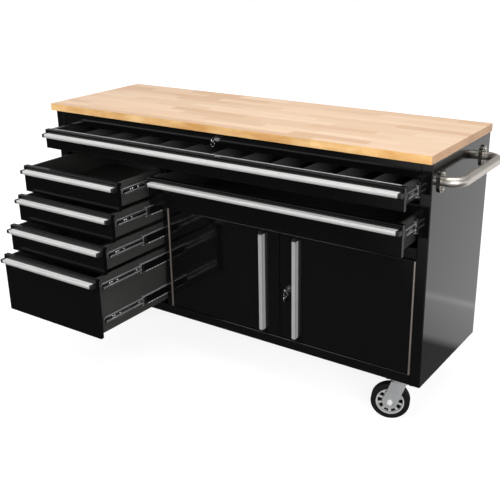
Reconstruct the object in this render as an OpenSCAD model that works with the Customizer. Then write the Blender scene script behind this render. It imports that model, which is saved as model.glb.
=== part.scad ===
// Rolling workbench: a steel cabinet with six drawers and two doors under a wooden top.
// The origin is on the floor below the centre of the cabinet. +Z is up and -Y is the front.

/* [Cabinet] */
// Width of the steel cabinet
case_w = 1530; // [1400:10:1700]
// Depth of the steel cabinet, front face to back
case_d = 465; // [455:5:560]
// Thickness of the folded sheet steel
sheet = 1.2; // [1:0.1:1.6]
// Inside radius of a fold
fold_r = 1.5; // [1:0.5:3]
// Width of each corner post
post_w = 36; // [34:1:50]
// How far the frame members fold back behind their face
return_d = 28; // [24:1:34]
// Width of the mullion between the drawer column and the doors
mullion_w = 26; // [24:1:40]
// Gap round every drawer front and door
gap = 3; // [2:0.5:4]

/* [Rows, from the bottom up] */
// Height of the base skirt
base_h = 36; // [30:1:60]
// Height of the deep drawer's front
deep_h = 221; // [190:1:260]
// Height of the shallow drawers' fronts
drawer_h = 98; // [88:1:120]
// Height of the rail between the doors and the wide drawer
door_rail_h = 37; // [24:1:50]
// Height of the rail under the tray drawer
mid_rail_h = 34; // [24:1:50]
// Height of the tray drawer's front
tray_h = 71; // [68:1:90]
// Height of the top rail
top_rail_h = 51; // [44:1:70]

/* [Worktop] */
// Thickness of the wooden top
top_t = 25; // [20:1:40]
// Overhang at the front
top_front = 23; // [0:1:60]
// Overhang at each side
top_side = 4; // [0:1:40]
// Overhang at the back
top_back = 3; // [0:1:30]
// Radius of the top's corners
top_r = 4; // [1:1:12]

/* [Drawers] */
// Width of the fronts in the drawer column
column_w = 466; // [400:1:520]
// Depth of a drawer, front face to back
drawer_d = 430; // [425:1:445]
// Thickness of a drawer front at its sides
front_t = 15; // [12:1:18]
// Depth of the flange along the top of a drawer front
front_lip = 20; // [16:1:24]
// Distance from the end of a front to the drawer's side wall
box_inset = 14; // [13.5:0.5:16]
// Distance from the bottom of a front to the drawer's floor
box_lift = 8; // [6:1:12]
// Distance from the top of a front down to the drawer's rim
rim_drop = 3; // [2:0.5:6]
// Width of the flange along a drawer's rim
rim_w = 9; // [6:1:14]
// Dividers across the tray drawer
divider_count = 11; // [3:1:15]

/* [How far the drawers stand open] */
// Tray drawer
tray_open = 99; // [0:1:380]
// Wide drawer over the doors
wide_open = 100; // [0:1:380]
// Top drawer of the column
first_open = 219; // [0:1:380]
// Second drawer of the column
second_open = 261; // [0:1:380]
// Third drawer of the column
third_open = 312; // [0:1:380]
// Deep drawer
deep_open = 356; // [0:1:380]

/* [Slides] */
// Length of a cabinet channel and of a drawer runner
slide_l = 400; // [380:5:400]
// Length of the carrier between them
carrier_l = 330; // [300:5:340]
// Height of a cabinet channel
slide_h = 45; // [42:1:46]
// Thickness of a whole slide
slide_t = 12.7; // [12:0.1:13.2]
// Thickness of the slides' steel
slide_sheet = 1.2; // [1:0.1:1.4]
// Running gap between two members of a slide
slide_play = 0.3; // [0.2:0.05:0.5]
// Height taken by one row of balls
ball_row = 4; // [3.6:0.1:4.2]
// From the top of a front down to its slide's centre line
slide_drop = 38; // [36:1:42]
// From the bottom of the deep front up to its lower slide
low_slide = 56; // [44:1:70]

/* [Pull bars] */
// Width of a pull bar across its face
bar_w = 13.5; // [12:0.5:22]
// How far a pull bar stands out
bar_d = 20; // [16:1:30]
// Thickness of its face and of its foot
bar_t = 3; // [2:0.5:4]
// Thickness of the web between them
bar_web = 3; // [2.5:0.5:5]
// How far the web lies above the middle of the face
bar_web_up = 1.5; // [0:0.5:3]
// Gap between the face and the shoulder of its foot
bar_neck = 3.5; // [2:0.5:4]
// Length of the plastic cap on each end
bar_cap = 12; // [4:0.5:16]
// From the end of a front to the end of its pull bar
bar_inset = 1; // [0:1:40]
// From the top of a front to the top of its pull bar
bar_drop = 14; // [6:1:20]
// How far left of the middle the gap between the doors lies
door_split = 3; // [0:1:20]
// From the gap between the doors to the middle of a door's pull bar
door_bar_in = 66; // [60:1:120]
// From the ends of a door to the ends of its pull bar
door_bar_inset = 4; // [2:1:40]

/* [Doors and shelf] */
// Thickness of a door
door_t = 18; // [14:1:22]
// Radius of the hinge knuckles
knuckle_r = 3; // [2.4:0.1:3.4]
// Length of one hinge knuckle
knuckle_l = 25; // [18:1:40]
// Radius of the hinge pin
pin_r = 1.2; // [1:0.1:1.4]
// Width of a hinge leaf
leaf_w = 15; // [10:1:17]
// Height of the shelf over the cupboard floor
shelf_up = 190; // [120:5:260]
// Height of the shelf's folded edge
shelf_edge = 22; // [16:1:30]

/* [Locks] */
// Radius of a lock's face
lock_r = 12; // [9:0.5:13]
// Radius of the plug that the key turns
plug_r = 6; // [5:0.25:7]
// Height of the door lock over the bottom of the door
door_lock_up = 188; // [120:1:250]
// Distance of the door lock from the gap between the doors
door_lock_in = 38; // [30:1:42]
// Reach of the top lock's cam
top_cam_l = 20; // [14:0.5:20]
// Reach of the door lock's cam
door_cam_l = 44; // [40:1:60]
// Radius of a key's bow
bow_r = 12; // [9:0.5:14]
// Radius of the key rings
ring_r = 8; // [7:0.5:8.5]
// Radius of a key ring's wire
ring_wire = 0.9; // [0.6:0.1:1.2]
// Thickness of a key
key_t = 2; // [1.5:0.1:2.6]
// Length of a key's blade
blade_l = 26; // [20:1:34]

/* [Side handle] */
// Radius of the tube
tube_r = 15; // [10:0.5:18]
// Distance between the two ends
handle_span = 340; // [200:5:360]
// Distance of the bar's centre line from the side panel
handle_out = 61; // [50:1:80]
// Radius of the bends at the centre line
handle_bend = 44; // [30:1:48]
// From the top of the cabinet down to the handle
handle_drop = 68; // [50:1:120]
// Height of an end flange
flange_h = 70; // [60:1:90]
// Width of an end flange
flange_w = 44; // [36:1:50]
// Thickness of an end flange
flange_t = 6; // [4:0.5:10]

/* [Castors] */
// Height of a castor from the floor to the cabinet
castor_h = 156; // [152:1:180]
// Radius of a wheel
wheel_r = 63.5; // [50:0.5:63.5]
// Width of a wheel's tread
wheel_w = 32; // [24:1:36]
// Radius where the tyre sits on the hub
hub_r = 46; // [36:0.5:50]
// Distance from a castor's swivel axis to the end of the cabinet
castor_x = 75; // [60:1:110]
// Distance from a castor's swivel axis to the front or back
castor_y = 46; // [42:1:80]
// Trail of the swivel castors
trail = 38; // [20:1:40]
// How much further in the rear swivel castor stands
rear_inset = 30; // [0:1:40]
// How far the front swivel castor is turned
front_turn = 20; // [0:5:355]
// How far the rear swivel castor is turned
rear_turn = 30; // [0:5:355]
// Width of a castor's legs
leg_w = 48; // [36:1:56]
// Length of a castor's top plate
plate_l = 104; // [90:1:120]
// Width of a castor's top plate
plate_w = 80; // [70:1:84]
// Thickness of the castors' steel
castor_t = 3; // [2.5:0.5:4]
// Radius of an axle
axle_r = 5; // [4:0.5:7]
// Running clearance of a shaft, on the radius
run = 0.05; // [0.02:0.01:0.1]

/* [Hidden] */
$fn = 48;

black = "#1b1b1d";
zinc = "#b9bcc0";
satin = "#c9cacb";
chrome = "#d8dadd";
dark = "#0e0e0f";

// Heights, counted from the floor
bottom = castor_h;
deep_z = bottom + base_h + gap;
third_z = deep_z + deep_h + gap;
second_z = third_z + drawer_h + gap;
first_z = second_z + drawer_h + gap;
mid_rail_z = first_z + drawer_h + gap;
tray_z = mid_rail_z + mid_rail_h + gap;
top_rail_z = tray_z + tray_h + gap;
top_z = top_rail_z + top_rail_h;
door_rail_z = first_z - gap - door_rail_h;
door_z = deep_z;
door_h = door_rail_z - gap - door_z;
deck_z = bottom + base_h;

// Places across the width and the depth
half_w = case_w / 2;
front = -case_d / 2;
back = case_d / 2;
inner_x = half_w - sheet;
post_x = half_w - post_w;
field_x = post_x - gap;
column_x1 = -field_x + column_w;
mullion_x = column_x1 + gap;
door_x0 = mullion_x + mullion_w + gap;
door_x1 = field_x;
door_mid = (door_x0 + door_x1) / 2 - door_split;
partition_x = mullion_x + mullion_w / 2;
back_y = back - 2 * sheet;

// One drawer: left end, right end, bottom, top, how far open, heights of its slides
function one_slide(z, h) = [z + h - slide_drop];
TRAY = [-field_x, field_x, tray_z, tray_z + tray_h, tray_open, one_slide(tray_z, tray_h)];
WIDE = [door_x0, field_x, first_z, first_z + drawer_h, wide_open, one_slide(first_z, drawer_h)];
FIRST = [-field_x, column_x1, first_z, first_z + drawer_h, first_open, one_slide(first_z, drawer_h)];
SECOND = [-field_x, column_x1, second_z, second_z + drawer_h, second_open, one_slide(second_z, drawer_h)];
THIRD = [-field_x, column_x1, third_z, third_z + drawer_h, third_open, one_slide(third_z, drawer_h)];
deep_slides = [deep_z + deep_h - slide_drop, deep_z + low_slide];
DEEP = [-field_x, column_x1, deep_z, deep_z + deep_h, deep_open, deep_slides];
DRAWERS = [TRAY, WIDE, FIRST, SECOND, THIRD, DEEP];

// Slides: half heights, places across and along
channel_y = front_t + 0.5;
runner_y = 28;
carrier_y = 51;
channel_half = slide_h / 2;
carrier_half = channel_half - slide_sheet - ball_row;
runner_half = carrier_half - slide_sheet - ball_row;
carrier_web = slide_t - slide_sheet - slide_play - slide_sheet;
runner_d = carrier_web - slide_play;
channel_lip = 4;
carrier_lip = 3;
race_w = 5;
race_r = 2;

// Locks: lip of the face, length of the barrel, gap to the cam, and the key
lock_lip = 2.5;
barrel_l = 20;
cam_gap = 1.5;
cam_w = 12;
cam_t = 2;
hole_r = bow_r * 0.3;
hole_off = bow_r * 0.45;
key_out = lock_lip + 4;

// Castors: heights of the fork's crown, room between its legs, places of the swivel axes
crown_t = 6;
crown_z = castor_h - castor_t - 14;
fork_gap = wheel_w + 4;
crown_r = 32;
race_top_r = crown_r + 1;
race_low_r = crown_r - 5;
kingpin_r = 6;
swivel_x = half_w - castor_x;
castor_row = case_d / 2 - castor_y;

// Spacing of the braces under the worktop
brace_pitch = case_w * 0.3;

// Gap between pieces that rest on each other
seat = 0.3;

// Slide brackets
bracket_ys = [34, 350];
bracket_w = 34;
bracket_foot = 12;

// ---- Helpers ----

// A flat shape drawn in X and Z, drawn out along Y
module along_y(y, l) {
  translate([0, y + l, 0]) rotate([90, 0, 0]) linear_extrude(l) children();
}

// A flat shape drawn in Y and Z, drawn out along X
module along_x(x, l) {
  translate([x, 0, 0]) rotate([90, 0, 90]) linear_extrude(l) children();
}

// Direction of a flat vector, in degrees
function heading(v) = atan2(v[1], v[0]);
function unit(v) = v / norm(v);

// One straight stretch of a folded strip, trimmed where it meets a fold
module strip_flat(from, to, trim_from, trim_to, t) {
  step = to - from;
  translate(from) rotate(heading(step)) translate([trim_from, -t / 2])
    square([norm(step) - trim_from - trim_to, t]);
}

// One square fold of a strip at a corner, between the points before and after it
module strip_fold(before, corner, after, mid_r, t) {
  b = unit(before - corner);
  a = unit(after - corner);
  start = cross(-a, -b) > 0 ? heading(-a) : heading(-b);
  translate(corner + (a + b) * mid_r) intersection() {
    difference() {
      circle(mid_r + t / 2);
      circle(mid_r - t / 2);
    }
    rotate(start) square(mid_r + t);
  }
}

// Sheet metal seen on edge: a strip folded squarely along the points of a path
module folded(path, t = sheet, r = fold_r) {
  last = len(path) - 1;
  mid_r = r + t / 2;
  for (i = [0 : last - 1])
    strip_flat(path[i], path[i + 1], i == 0 ? 0 : mid_r, i == last - 1 ? 0 : mid_r, t);
  for (i = [1 : last - 1])
    strip_fold(path[i - 1], path[i], path[i + 1], mid_r, t);
}

// A rectangle with round corners
module round_rect(w, h, r) {
  translate([r, 0]) square([w - 2 * r, h]);
  translate([0, r]) square([w, h - 2 * r]);
  for (x = [r, w - r], y = [r, h - r])
    translate([x, y]) circle(r);
}

// A rectangle whose low end in X is a half circle
module round_end(l, half) {
  translate([half, 0]) circle(half);
  translate([half, -half]) square([l - half, 2 * half]);
}

// ---- Cabinet ----

module worktop() {
  color("#d9a76a") translate([-half_w - top_side, front - top_front, top_z]) linear_extrude(top_t)
    round_rect(case_w + 2 * top_side, case_d + top_front + top_back, top_r);
}

// Side, corner post and back flange, folded from one sheet
module side_sheet() {
  s = sheet / 2;
  post_hem = 10;
  back_flange = 20;
  translate([0, 0, bottom]) linear_extrude(top_z - bottom) folded([
    [half_w - back_flange, back - s], [half_w - s, back - s], [half_w - s, front + s],
    [post_x + s, front + s], [post_x + s, front + return_d], [post_x + post_hem, front + return_d]
  ]);
}

module side_panel_right() {
  color(black) side_sheet();
}

module side_panel_left() {
  color(black) mirror([1, 0, 0]) side_sheet();
}

// The back sheet, between the folds of the two side sheets
module back_panel() {
  half = inner_x - fold_r - seat;
  color(black) translate([-half, back_y, deck_z]) cube([2 * half, sheet, top_z - deck_z]);
}

// Floor of the cabinet with its skirts, and wings that reach the side panels
module base_pan() {
  s = sheet / 2;
  foot = 30;
  wing_y = front + return_d + 2 * sheet;
  wing_d = back_y - wing_y - 5;
  color(black) {
    along_x(-post_x, 2 * post_x) folded([
      [front + foot, bottom + s], [front + s, bottom + s], [front + s, deck_z - s],
      [back_y - s, deck_z - s], [back_y - s, bottom + s], [back_y - foot, bottom + s]
    ]);
    for (m = [0, 1]) mirror([m, 0, 0]) {
      translate([post_x - 1, wing_y, deck_z - sheet]) cube([inner_x - post_x + 1, wing_d, sheet]);
      translate([inner_x - sheet, wing_y, bottom]) cube([sheet, wing_d, base_h]);
    }
    along_y(front + foot + 5, case_d - 2 * foot - 12) {
      castor_channel(-swivel_x - plate_l / 2, -swivel_x + plate_l / 2);
      castor_channel(swivel_x - rear_inset - plate_l / 2, swivel_x + plate_l / 2);
    }
  }
}

// Inverted channel under the floor that a pair of castors bolts to
module castor_channel(x0, x1) {
  foot = 30;
  s = sheet / 2;
  z1 = deck_z - sheet - s;
  folded([[x0 + foot, z1], [x0, z1], [x0, bottom + s], [x0 + foot, bottom + s]]);
  folded([[x1 - foot, z1], [x1, z1], [x1, bottom + s], [x1 - foot, bottom + s]]);
}

// A frame member: a face with two returns and hems, open at the back
module rail(x0, x1, z, h) {
  s = sheet / 2;
  hem = 9;
  along_x(x0, x1 - x0) folded([
    [front + return_d - s, z + hem], [front + return_d - s, z + s], [front + s, z + s],
    [front + s, z + h - s], [front + return_d - s, z + h - s], [front + return_d - s, z + h - hem]
  ]);
}

module mullion() {
  s = sheet / 2;
  color(black) translate([mullion_x, 0, deck_z]) linear_extrude(mid_rail_z - deck_z) folded([
    [s, front + return_d], [s, front + s], [mullion_w - s, front + s], [mullion_w - s, front + return_d]
  ]);
}

// Hat channels from front to back that carry the worktop
module top_brace(x) {
  half = 20;
  drop = 30;
  flange = 14;
  s = sheet / 2;
  along_y(front + return_d, back_y - front - return_d) folded([
    [x - half - flange, top_z - s], [x - half, top_z - s], [x - half, top_z - drop],
    [x + half, top_z - drop], [x + half, top_z - s], [x + half + flange, top_z - s]
  ]);
}

module frame_rails() {
  color(black) {
    difference() {
      rail(-post_x, post_x, top_rail_z, top_rail_h);
      at_top_lock() lock_bore();
    }
    rail(-post_x, post_x, mid_rail_z, mid_rail_h);
    rail(mullion_x + mullion_w, post_x, door_rail_z, door_rail_h);
    for (i = [-1, 0, 1]) top_brace(i * brace_pitch);
  }
}

module partition() {
  s = sheet / 2;
  foot = 11;
  color(black) along_y(front + sheet, back_y - front - sheet) folded([
    [partition_x + foot, deck_z + s], [partition_x, deck_z + s], [partition_x, mid_rail_z - s],
    [partition_x + foot, mid_rail_z - s]
  ]);
}

// ---- Slides ----

// Calls its children once for each side of a drawer and each slide height, X outwards from the drawer's wall
module at_slides(d) {
  for (z = d[5]) {
    translate([d[1] - box_inset, front, z]) children();
    translate([d[0] + box_inset, front, z]) mirror([1, 0, 0]) children();
  }
}

// A C section with its web at x, open towards the drawer
module slide_c(x, half, lip) {
  s = slide_sheet / 2;
  folded([
    [lip, half - s], [x + s, half - s], [x + s, s - half], [lip, s - half]
  ], slide_sheet, race_r);
}

module slide_channels() {
  color(zinc) for (d = DRAWERS)
    at_slides(d) along_y(channel_y, slide_l) slide_c(slide_t - slide_sheet, channel_half, channel_lip);
}

// Middle member, with a stop turned out at its front above and below
module carriers(d) {
  stop_h = ball_row - slide_play - 1;
  color(zinc) at_slides(d) translate([0, carrier_y - d[4] / 2, 0]) {
    along_y(0, carrier_l) slide_c(carrier_web, carrier_half, carrier_lip);
    for (m = [0, 1]) mirror([0, 0, m])
      translate([carrier_lip, 0, carrier_half - slide_sheet / 2])
        cube([carrier_web - carrier_lip - race_r, 3, stop_h]);
  }
}

// Drawer member: a web on the drawer's wall between two raised races, closed at the front by a round tab
module runners(d) {
  s = slide_sheet / 2;
  tab = 9;
  web_half = runner_half - race_w;
  color(zinc) at_slides(d) translate([0, runner_y - d[4], 0]) {
    for (m = [0, 1]) mirror([0, 0, m])
      along_y(tab - 1, slide_l - tab + 1) folded([
        [s, 0], [s, web_half - s], [runner_d - s, web_half - s], [runner_d - s, runner_half - s],
        [2.5, runner_half - s]
      ], slide_sheet, 0.6);
    translate([runner_d - slide_sheet, 0, 0]) along_x(0, slide_sheet) intersection() {
      round_end(2 * runner_half, runner_half);
      translate([0, -runner_half]) square([tab, 2 * runner_half]);
    }
    translate([0, tab - 2, -web_half]) cube([runner_d, slide_sheet, 2 * web_half]);
  }
}

// Hat section upright that carries cabinet channels, its face at x = depth
module bracket(depth, z0, z1) {
  s = sheet / 2;
  for (y = bracket_ys)
    translate([0, front + y, z0]) linear_extrude(z1 - z0) folded([
      [s, -bracket_foot], [s, s], [depth - s, s], [depth - s, bracket_w - s], [s, bracket_w - s],
      [s, bracket_w + bracket_foot]
    ]);
}

module slide_brackets() {
  wall_depth = inner_x - (field_x - box_inset + slide_t);
  post_depth = column_x1 - box_inset + slide_t;
  wide_depth = door_x0 + box_inset - slide_t;
  top = top_rail_z - gap;
  color(black) {
    translate([-inner_x, 0, 0]) bracket(wall_depth, deck_z, top);
    translate([inner_x, 0, 0]) mirror([1, 0, 0]) bracket(wall_depth, door_rail_z, top);
    translate([partition_x - sheet / 2, 0, 0]) mirror([1, 0, 0])
      bracket(partition_x - sheet / 2 - post_depth, deck_z, mid_rail_z - 4);
    translate([partition_x + sheet / 2, 0, 0])
      bracket(wide_depth - partition_x - sheet / 2, door_rail_z, mid_rail_z - 4);
  }
}

// ---- Drawers ----

// Outer sheet of a front with its flanges, Y from the front face
module drawer_front(d) {
  s = sheet / 2;
  hem = 10;
  z0 = d[2];
  z1 = d[3];
  along_x(d[0] + s, d[1] - d[0] - sheet) folded([
    [front_t - s, z0 + hem], [front_t - s, z0 + s], [s, z0 + s],
    [s, z1 - s], [front_lip - s, z1 - s], [front_lip - s, z1 - hem]
  ]);
  for (x = [d[0], d[1] - sheet])
    along_x(x, sheet) translate([0, z0]) round_rect(front_t, z1 - z0, fold_r + sheet);
}

// Floor and side walls folded from one sheet, with end walls
module drawer_tub(d) {
  s = sheet / 2;
  x0 = d[0] + box_inset;
  x1 = d[1] - box_inset;
  floor_z = d[2] + box_lift;
  rim_z = d[3] - rim_drop;
  along_y(s, drawer_d - s) folded([
    [x0 + rim_w, rim_z - s], [x0 + s, rim_z - s], [x0 + s, floor_z + s],
    [x1 - s, floor_z + s], [x1 - s, rim_z - s], [x1 - rim_w, rim_z - s]
  ]);
  for (y = [front_lip - sheet, drawer_d - sheet])
    translate([x0 + s, y, floor_z + s]) cube([x1 - x0 - sheet, sheet, rim_z - floor_z - sheet]);
}

module drawer(d) {
  color(black) translate([0, front - d[4], 0]) {
    drawer_front(d);
    drawer_tub(d);
  }
}

// Flanges of the tray that reach out over its slides
module slide_covers() {
  reach = slide_t - seat;
  color(black) for (x = [TRAY[0] + box_inset - reach, TRAY[1] - box_inset - sheet])
    translate([x, front - tray_open + front_t, TRAY[3] - rim_drop - sheet])
      cube([reach + sheet, drawer_d - front_t, sheet]);
}

module tray_dividers() {
  x0 = TRAY[0] + box_inset + sheet;
  x1 = TRAY[1] - box_inset - sheet;
  pitch = (x1 - x0) / (divider_count + 1);
  h = TRAY[3] - TRAY[2] - box_lift - rim_drop - sheet - 10;
  color(black) for (i = [1 : divider_count])
    translate([x0 + i * pitch - sheet / 2, front - tray_open + front_lip, TRAY[2] + box_lift + sheet])
      cube([sheet, drawer_d - front_lip - sheet, h]);
}

// Section of a pull bar: a grooved face and a shouldered foot joined by a web, from y = 0 to -bar_d
module bar_section() {
  groove_w = 1.2;
  groove_d = 0.6;
  shoulder = bar_d - bar_t - bar_neck;
  difference() {
    translate([-bar_d, -bar_w / 2]) round_rect(bar_t, bar_w, 1);
    for (z = [-bar_w / 4, bar_w / 4])
      translate([-bar_d - 1, z - groove_w / 2]) square([1 + groove_d, groove_w]);
  }
  translate([-bar_t, -bar_w / 2]) square([bar_t, bar_w]);
  translate([-bar_d + bar_t / 2, bar_web_up - bar_web / 2]) square([bar_d - bar_t, bar_web]);
  translate([-shoulder, bar_web_up]) square([shoulder, bar_w / 2 - bar_web_up]);
}

// Cap on the low end of a pull bar, with a tongue in the wider trough
module bar_cap() {
  play = 0.1;
  tongue = 10;
  tongue_h = bar_w / 2 + bar_web_up - bar_web / 2 - play;
  along_x(0, bar_cap - play) translate([-bar_d, -bar_w / 2]) round_rect(bar_d, bar_w, 2);
  translate([0, -bar_d + bar_t + play, -bar_w / 2])
    cube([bar_cap + tongue, bar_d - 2 * bar_t - 2 * play, tongue_h]);
}

// A pull bar that starts at the origin and runs along +X
module pull_bar(l) {
  color(satin) along_x(bar_cap, l - 2 * bar_cap) bar_section();
  color(dark) {
    bar_cap();
    translate([l, 0, 0]) mirror([1, 0, 0]) bar_cap();
  }
}

module drawer_pull(d) {
  translate([d[0] + bar_inset, front - d[4], d[3] - bar_drop - bar_w / 2])
    pull_bar(d[1] - d[0] - 2 * bar_inset);
}

// ---- Doors ----

// A folded pan with a stiffener down its back, x0 at its hinge or free edge
module door(x0, x1) {
  s = sheet / 2;
  hem = 14;
  rib = 60;
  rib_d = door_t - 4;
  z1 = door_z + door_h;
  mid = (x0 + x1) / 2;
  along_x(x0 + s, x1 - x0 - sheet) translate([front, 0]) folded([
    [door_t - s, door_z + hem], [door_t - s, door_z + s], [s, door_z + s],
    [s, z1 - s], [door_t - s, z1 - s], [door_t - s, z1 - hem]
  ]);
  for (x = [x0, x1 - sheet])
    along_x(x, sheet) translate([front, door_z]) round_rect(door_t, door_h, fold_r + sheet);
  for (x = [x0, x1 - hem])
    translate([x, front + door_t - sheet, door_z + fold_r + sheet])
      cube([hem, sheet, door_h - 2 * (fold_r + sheet)]);
  translate([mid, front, door_z + sheet]) linear_extrude(door_h - 2 * sheet) folded([
    [-rib, sheet + s], [-rib / 2, sheet + s], [-rib / 2, rib_d],
    [rib / 2, rib_d], [rib / 2, sheet + s], [rib, sheet + s]
  ]);
}

module left_door() {
  color(black) door(door_x0, door_mid - gap / 2);
}

module right_door() {
  color(black) difference() {
    door(door_mid + gap / 2, door_x1);
    at_door_lock() lock_bore();
  }
}

module door_pull(x) {
  translate([x, front, door_z + door_bar_inset]) rotate([0, -90, 0]) mirror([0, 0, 1])
    pull_bar(door_h - 2 * door_bar_inset);
}

// Every second knuckle of a piano hinge with its leaf, the pin's axis at the origin and the leaf towards +X
module hinge_half(first) {
  count = floor(door_h / knuckle_l);
  pitch = door_h / count;
  play = 0.3;
  leaf_t = 1;
  edge = gap / 2;
  translate([edge - leaf_t, 0, 0]) cube([leaf_t, leaf_w + knuckle_r, door_h]);
  for (i = [first : 2 : count - 1])
    translate([0, 0, i * pitch + play / 2]) cylinder(r = knuckle_r, h = pitch - play);
}

// The space taken by the other half's knuckles and by the pin
module hinge_space(first) {
  count = floor(door_h / knuckle_l);
  pitch = door_h / count;
  play = 0.3;
  for (i = [first : 2 : count - 1])
    translate([0, 0, i * pitch - play / 2]) cylinder(r = knuckle_r + play, h = pitch + play);
  translate([0, 0, -1]) cylinder(r = pin_r + run, h = door_h + 2);
}

module hinge_leaf(first) {
  difference() {
    hinge_half(first);
    hinge_space(1 - first);
  }
}

module at_left_hinge() {
  translate([door_x0 - gap / 2, front - knuckle_r, door_z]) children();
}

module at_right_hinge() {
  translate([door_x1 + gap / 2, front - knuckle_r, door_z]) mirror([1, 0, 0]) children();
}

module left_door_leaf() {
  color(zinc) at_left_hinge() hinge_leaf(0);
}

module right_door_leaf() {
  color(zinc) at_right_hinge() hinge_leaf(0);
}

module hinge_frame_leaves() {
  color(zinc) {
    at_left_hinge() {
      mirror([1, 0, 0]) hinge_leaf(1);
      cylinder(r = pin_r, h = door_h);
    }
    at_right_hinge() {
      mirror([1, 0, 0]) hinge_leaf(1);
      cylinder(r = pin_r, h = door_h);
    }
  }
}

module shelf() {
  s = sheet / 2;
  x0 = partition_x + sheet / 2 + 0.5;
  x1 = inner_x - 0.5;
  y0 = front + return_d + 6;
  y1 = back_y - 1;
  z = deck_z + shelf_up;
  ledge = 18;
  color(black) {
    along_x(x0, x1 - x0) folded([
      [y0 + 14, z - shelf_edge + s], [y0 + s, z - shelf_edge + s], [y0 + s, z - s],
      [y1 - s, z - s], [y1 - s, z - shelf_edge + s], [y1 - 14, z - shelf_edge + s]
    ]);
    translate([partition_x + s, 0, 0]) shelf_ledge(y0 + 20, y1 - 20, z - sheet - seat, ledge);
    translate([inner_x, 0, 0]) mirror([1, 0, 0]) shelf_ledge(y0 + 20, y1 - 20, z - sheet - seat, ledge);
  }
}

// Angle that carries one end of the shelf, its foot on the wall at x = 0
module shelf_ledge(y0, y1, z, w) {
  s = sheet / 2;
  along_y(y0, y1 - y0) folded([[s, z - w], [s, z - s], [w, z - s]]);
}

// ---- Locks ----

// Bore through a sheet at y = 0 for a lock's barrel
module lock_bore() {
  translate([0, -1, 0]) rotate([-90, 0, 0]) cylinder(r = lock_r - 1.5 + run, h = sheet + 2);
}

// Face ring and barrel of a lock, through the sheet at y = 0
module lock_barrel() {
  rotate([90, 0, 0]) difference() {
    union() {
      cylinder(r = lock_r, h = lock_lip);
      translate([0, 0, -barrel_l]) cylinder(r = lock_r - 1.5, h = barrel_l);
    }
    translate([0, 0, -barrel_l - 1]) cylinder(r = plug_r + run, h = barrel_l + lock_lip + 2);
  }
}

// A key seen flat: a round bow with a hole, centred on the bow, its blade downwards
module key_outline(blade) {
  difference() {
    circle(bow_r);
    translate([0, hole_off]) circle(hole_r);
  }
  translate([-3.5, -bow_r - blade]) square([7, blade + 2]);
}

// A flat key in the plane of Y and Z
module flat_key(blade, turn) {
  translate([-key_t / 2, 0, 0]) rotate([90, 0, 90]) linear_extrude(key_t) rotate(turn) key_outline(blade);
}

// Plug, cam and the key in the plug, with a ring through its bow. The plug's axis is the origin's Y
module lock_key(cam_l) {
  hole_y = -key_out - bow_r - hole_off;
  color(chrome) {
    translate([0, -lock_lip + 0.5, 0]) rotate([-90, 0, 0])
      cylinder(r = plug_r, h = barrel_l + cam_gap + lock_lip - 0.5);
    translate([-cam_w / 2, barrel_l + cam_gap, -cam_l]) cube([cam_w, cam_t, cam_l + cam_w / 2]);
    translate([0, -key_out - bow_r, 0]) flat_key(key_out, 90);
    translate([0, hole_y, -hole_r + ring_wire + 0.1 - ring_r]) rotate([90, 0, 0])
      rotate_extrude() translate([ring_r, 0]) circle(ring_wire);
  }
}

// The spare key that hangs from the ring
module spare_key() {
  hole_y = -key_out - bow_r - hole_off;
  wire_z = -hole_r + ring_wire + 0.1 - 2 * ring_r;
  color(chrome) translate([0, hole_y, wire_z + ring_wire + 0.1 - hole_r - hole_off]) flat_key(blade_l, 0);
}

module at_top_lock() {
  translate([0, front, top_rail_z + top_rail_h / 2]) children();
}

module at_door_lock() {
  translate([door_mid + door_lock_in, front, door_z + door_lock_up]) children();
}

module top_lock() {
  color(chrome) at_top_lock() lock_barrel();
}

module door_lock() {
  color(chrome) at_door_lock() lock_barrel();
}

module top_key() {
  at_top_lock() lock_key(top_cam_l);
}

module door_key() {
  at_door_lock() {
    lock_key(door_cam_l);
    spare_key();
  }
}

// ---- Side handle ----

// Oval flange on the side panel, with the round end of the tube in its middle
module handle_flange() {
  along_x(0, flange_t) {
    translate([0, (flange_h - flange_w) / 2]) circle(flange_w / 2);
    translate([0, -(flange_h - flange_w) / 2]) circle(flange_w / 2);
    translate([-flange_w / 2, -(flange_h - flange_w) / 2]) square([flange_w, flange_h - flange_w]);
  }
  for (z = [-1, 1])
    translate([flange_t, 0, z * (flange_h / 2 - 11)]) rotate([0, 90, 0]) cylinder(r = 5, h = 3);
}

module handle_leg() {
  handle_flange();
  rotate([0, 90, 0]) cylinder(r = tube_r, h = handle_out - handle_bend);
  translate([handle_out - handle_bend, handle_bend, 0]) rotate([0, 0, -90])
    rotate_extrude(angle = 90) translate([handle_bend, 0]) circle(tube_r);
}

module side_handle() {
  color(satin) translate([half_w, 0, top_z - handle_drop]) {
    for (m = [0, 1]) mirror([0, m, 0]) translate([0, -handle_span / 2, 0]) handle_leg();
    translate([handle_out, handle_span / 2 - handle_bend, 0]) rotate([90, 0, 0])
      cylinder(r = tube_r, h = handle_span - 2 * handle_bend);
  }
}

// ---- Castors ----

module castor_plate() {
  translate([-plate_l / 2, -plate_w / 2, castor_h - castor_t]) linear_extrude(castor_t) difference() {
    round_rect(plate_l, plate_w, 8);
    for (x = [12, plate_l - 12], y = [12, plate_w - 12]) translate([x, y]) circle(4.5);
  }
}

// Plate with its raceway and the kingpin that the fork turns on
module swivel_plate() {
  head_t = 3;
  race_z = crown_z + crown_t + seat;
  pin_z = crown_z - castor_t - seat - head_t;
  castor_plate();
  translate([0, 0, race_z]) cylinder(r1 = race_low_r, r2 = race_top_r, h = castor_h - castor_t - race_z);
  translate([0, 0, pin_z]) cylinder(r = kingpin_r, h = castor_h - pin_z);
  translate([0, 0, pin_z]) cylinder(r = 11, h = head_t);
}

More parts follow.
